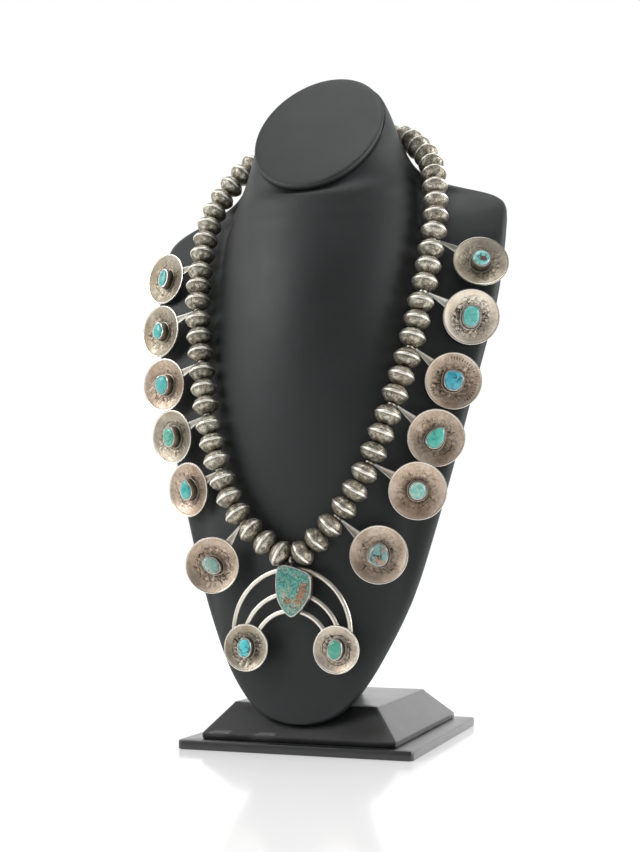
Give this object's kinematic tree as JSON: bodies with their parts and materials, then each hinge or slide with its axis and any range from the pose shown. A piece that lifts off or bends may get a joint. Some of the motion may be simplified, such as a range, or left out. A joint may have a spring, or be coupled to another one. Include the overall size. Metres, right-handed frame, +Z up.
{
  "type": "squash blossom necklace on a neck bust with a stepped base",
  "caption": "Squash blossom necklace of domed silver beads, dished coins with turquoise stones and a crescent pendant, worn by a plain black neck bust on a stepped base.",
  "frame": {"origin": "middle of the slab's underside, where the stand rests on a table", "axes": "+Z up, the chest faces -Y, +X to the right of the picture"},
  "size_m": [0.2128, 0.1495, 0.3734],
  "materials": {
    "base_leatherette": "satin",
    "bust_leatherette": "satin",
    "bead_silver": "worn and oxidised",
    "coin_silver": "worn and oxidised",
    "turquoise": "polished",
    "thread": "matt"
  },
  "bodies": {
    "stand": {"base_slab": "base_leatherette", "base_block": "base_leatherette", "neck_bust": "bust_leatherette", "neck_cap": "bust_leatherette", "bead_string_left": "bead_silver", "bead_string_right": "bead_silver", "thread": "thread", "clasp": "bead_silver", "blossom_l1": "coin_silver", "blossom_l2": "coin_silver", "blossom_l3": "coin_silver", "blossom_l4": "coin_silver", "blossom_l5": "coin_silver", "blossom_l6": "coin_silver", "blossom_r1": "coin_silver", "blossom_r2": "coin_silver", "blossom_r3": "coin_silver", "blossom_r4": "coin_silver", "blossom_r5": "coin_silver", "blossom_r6": "coin_silver", "stone_l1": "turquoise", "stone_l2": "turquoise", "stone_l3": "turquoise", "stone_l4": "turquoise", "stone_l5": "turquoise", "stone_l6": "turquoise", "stone_r1": "turquoise", "stone_r2": "turquoise", "stone_r3": "turquoise", "stone_r4": "turquoise", "stone_r5": "turquoise", "stone_r6": "turquoise"},
    "naja": {"naja": "coin_silver", "naja_stone": "turquoise", "naja_stone_left": "turquoise", "naja_stone_right": "turquoise"}
  },
  "joints": [
    {"name": "naja_swing", "type": "hinge", "parent": "stand", "child": "naja", "pos_m": [0, -0.0712, 0.0964], "axis": [-1, 0, 0], "range_deg": [-6, 25]}
  ]
}
